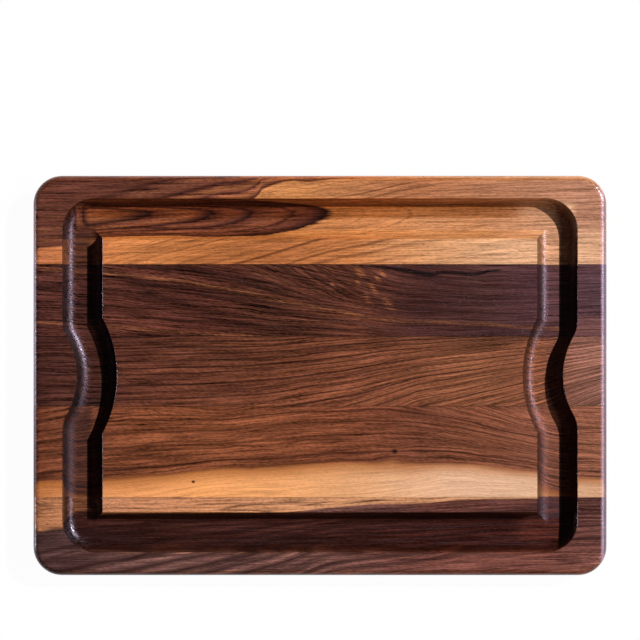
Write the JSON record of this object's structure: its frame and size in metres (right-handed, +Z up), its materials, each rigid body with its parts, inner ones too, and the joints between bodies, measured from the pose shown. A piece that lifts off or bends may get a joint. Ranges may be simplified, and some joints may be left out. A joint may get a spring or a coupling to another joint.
{
  "type": "carving board",
  "caption": "Rectangular wooden carving board with a wide rounded juice groove that waves inward at both ends, and finger grips underneath.",
  "frame": {"origin": "centre of the underside", "axes": "+X along the long side, +Y towards the back edge, +Z up"},
  "size_m": [0.508, 0.354, 0.0254],
  "materials": {
    "back_stave_walnut": "oiled walnut, long grain, satin sheen",
    "back_inner_stave_walnut": "oiled walnut, long grain, satin sheen",
    "middle_stave_walnut": "oiled walnut, long grain, satin sheen",
    "front_inner_stave_walnut": "oiled walnut, long grain, satin sheen",
    "front_stave_walnut": "oiled walnut, long grain, satin sheen"
  },
  "bodies": {
    "root": {"back_stave": "back_stave_walnut", "back_inner_stave": "back_inner_stave_walnut", "middle_stave": "middle_stave_walnut", "front_inner_stave": "front_inner_stave_walnut", "front_stave": "front_stave_walnut"}
  },
  "joints": []
}
